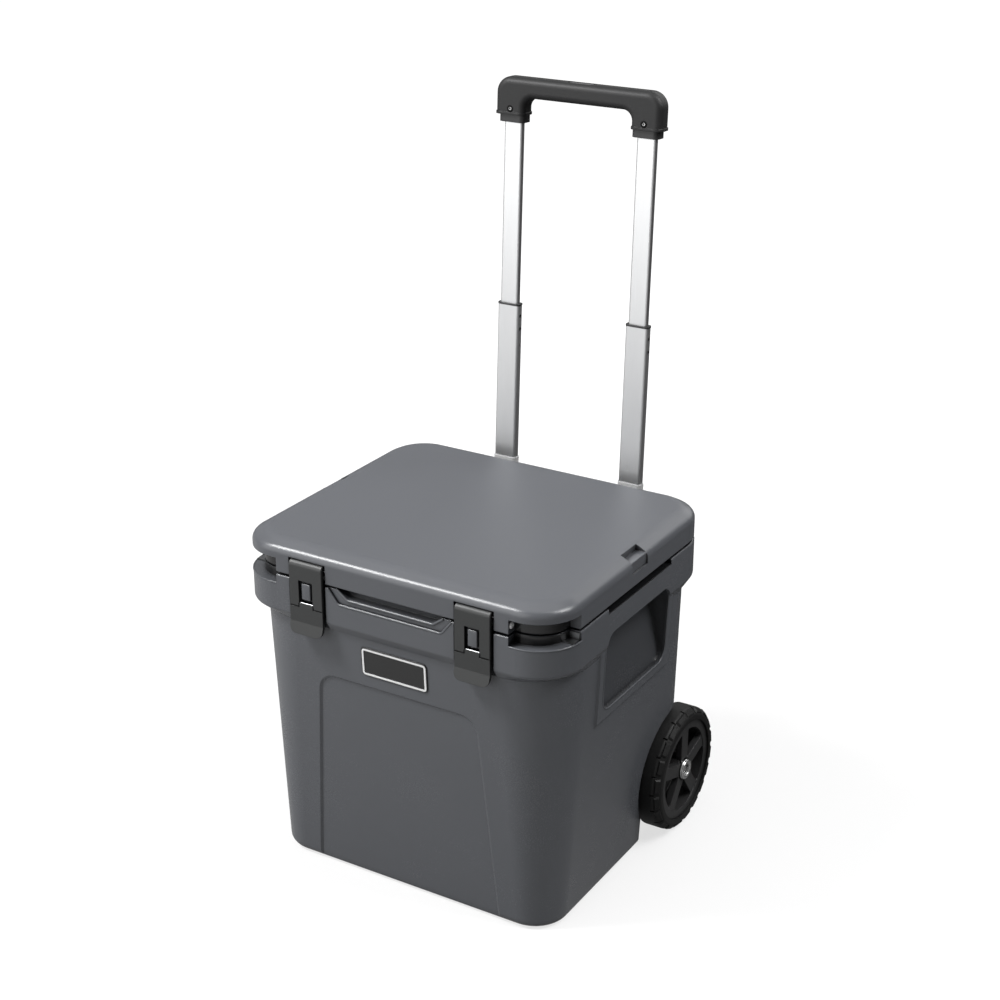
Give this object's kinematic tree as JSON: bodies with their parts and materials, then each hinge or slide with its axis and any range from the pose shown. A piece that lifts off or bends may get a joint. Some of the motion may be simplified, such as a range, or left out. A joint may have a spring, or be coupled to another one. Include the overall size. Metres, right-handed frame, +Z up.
{
  "type": "wheeled hard cooler",
  "caption": "Insulated hard cooler with latched hinged lid, side handholds, rear wheels on an axle and a telescopic pull handle with a release button.",
  "frame": {"origin": "on the floor, on the flat underside of the tub, below the middle of the rim", "axes": "+Z up, -Y towards the latched front, +X to the right of someone who faces the front"},
  "size_m": [0.504, 0.5088, 1.02],
  "materials": {
    "shell_plastic": "satin charcoal moulded plastic with a soft sheen",
    "liner_plastic": "smooth white moulded plastic",
    "foam": "closed-cell insulation foam",
    "dark_plastic": "fine-grained black moulded plastic",
    "grip_plastic": "soft-touch black handle plastic",
    "button_plastic": "light grey moulded plastic",
    "hub_plastic": "satin black moulded plastic",
    "bearing_plastic": "slippery bearing plastic",
    "latch_rubber": "firm moulded rubber",
    "seal_rubber": "soft seal rubber",
    "tyre": "moulded solid tyre rubber",
    "aluminium": "bright brushed aluminium tube",
    "stainless": "stainless steel",
    "black_steel": "blackened steel",
    "steel": "plain steel"
  },
  "bodies": {
    "tub": {"tub_shell": "shell_plastic", "tub_foam": "foam", "tub_liner": "liner_plastic", "corner_plates": "stainless", "hinge_rod": "steel", "rear_housing": "dark_plastic", "housing_screws": "stainless", "tube_bezel": "dark_plastic", "left_outer_tube": "aluminium", "right_outer_tube": "aluminium", "left_mouth_collar": "aluminium", "right_mouth_collar": "aluminium", "axle": "steel", "left_axle_bracket": "dark_plastic", "right_axle_bracket": "dark_plastic", "left_axle_washer": "bearing_plastic", "right_axle_washer": "bearing_plastic", "left_axle_bolt": "stainless", "right_axle_bolt": "stainless"},
    "lid": {"lid_shell": "shell_plastic", "lid_foam": "foam", "lid_liner": "liner_plastic", "lid_gasket": "seal_rubber", "left_latch_pin": "steel", "right_latch_pin": "steel"},
    "left_latch": {"left_latch_plate": "latch_rubber", "left_tab_pin": "steel"},
    "right_latch": {"right_latch_plate": "latch_rubber", "right_tab_pin": "steel"},
    "left_tab": {"left_latch_tab": "latch_rubber"},
    "right_tab": {"right_latch_tab": "latch_rubber"},
    "handle_mid": {"left_mid_tube": "aluminium", "right_mid_tube": "aluminium", "left_mid_collar": "dark_plastic", "right_mid_collar": "dark_plastic", "left_mid_glide": "bearing_plastic", "right_mid_glide": "bearing_plastic"},
    "handle_top": {"left_inner_tube": "aluminium", "right_inner_tube": "aluminium", "left_inner_glide": "bearing_plastic", "right_inner_glide": "bearing_plastic", "left_lock_pin": "steel", "right_lock_pin": "steel", "left_grip_collar": "dark_plastic", "right_grip_collar": "dark_plastic", "grip_body": "grip_plastic", "grip_screws": "black_steel"},
    "release": {"release_button": "button_plastic", "release_yoke": "dark_plastic", "left_lock_rod": "steel", "right_lock_rod": "steel"},
    "left_wheel": {"left_tyre": "tyre", "left_hub": "hub_plastic", "left_bush": "bearing_plastic"},
    "right_wheel": {"right_tyre": "tyre", "right_hub": "hub_plastic", "right_bush": "bearing_plastic"}
  },
  "joints": [
    {"name": "lid_hinge", "type": "hinge", "parent": "tub", "child": "lid", "pos_m": [0, 0.194, 0.464], "axis": [-1, 0, 0], "range_deg": [0, 90]},
    {"name": "handle_lower_slide", "type": "slide", "parent": "tub", "child": "handle_mid", "axis": [0, 0.0436, 0.999], "range_m": [-0.227, 0]},
    {"name": "handle_upper_slide", "type": "slide", "parent": "handle_mid", "child": "handle_top", "axis": [0, 0.0436, 0.999], "range_m": [-0.255, 0]},
    {"name": "button_press", "type": "slide", "parent": "handle_top", "child": "release", "axis": [0, -0.0436, -0.999], "range_m": [0, 0.004], "stiffness_N_per_m": 800, "springref_m": -0.004},
    {"name": "left_latch_swing", "type": "hinge", "parent": "lid", "child": "left_latch", "pos_m": [-0.127, -0.2089, 0.4633], "axis": [-1, 0, 0], "range_deg": [0, 105]},
    {"name": "left_tab_pivot", "type": "hinge", "parent": "left_latch", "child": "left_tab", "pos_m": [-0.127, -0.2139, 0.4116], "axis": [-1, 0, 0], "range_deg": [0, 40]},
    {"name": "left_wheel_spin", "type": "hinge", "parent": "tub", "child": "left_wheel", "pos_m": [-0.229, 0.1584, 0.09], "axis": [1, 0, 0], "continuous": true},
    {"name": "right_latch_swing", "type": "hinge", "parent": "lid", "child": "right_latch", "pos_m": [0.127, -0.2089, 0.4633], "axis": [-1, 0, 0], "range_deg": [0, 105]},
    {"name": "right_tab_pivot", "type": "hinge", "parent": "right_latch", "child": "right_tab", "pos_m": [0.127, -0.2139, 0.4116], "axis": [-1, 0, 0], "range_deg": [0, 40]},
    {"name": "right_wheel_spin", "type": "hinge", "parent": "tub", "child": "right_wheel", "pos_m": [0.229, 0.1584, 0.09], "axis": [1, 0, 0], "continuous": true}
  ]
}
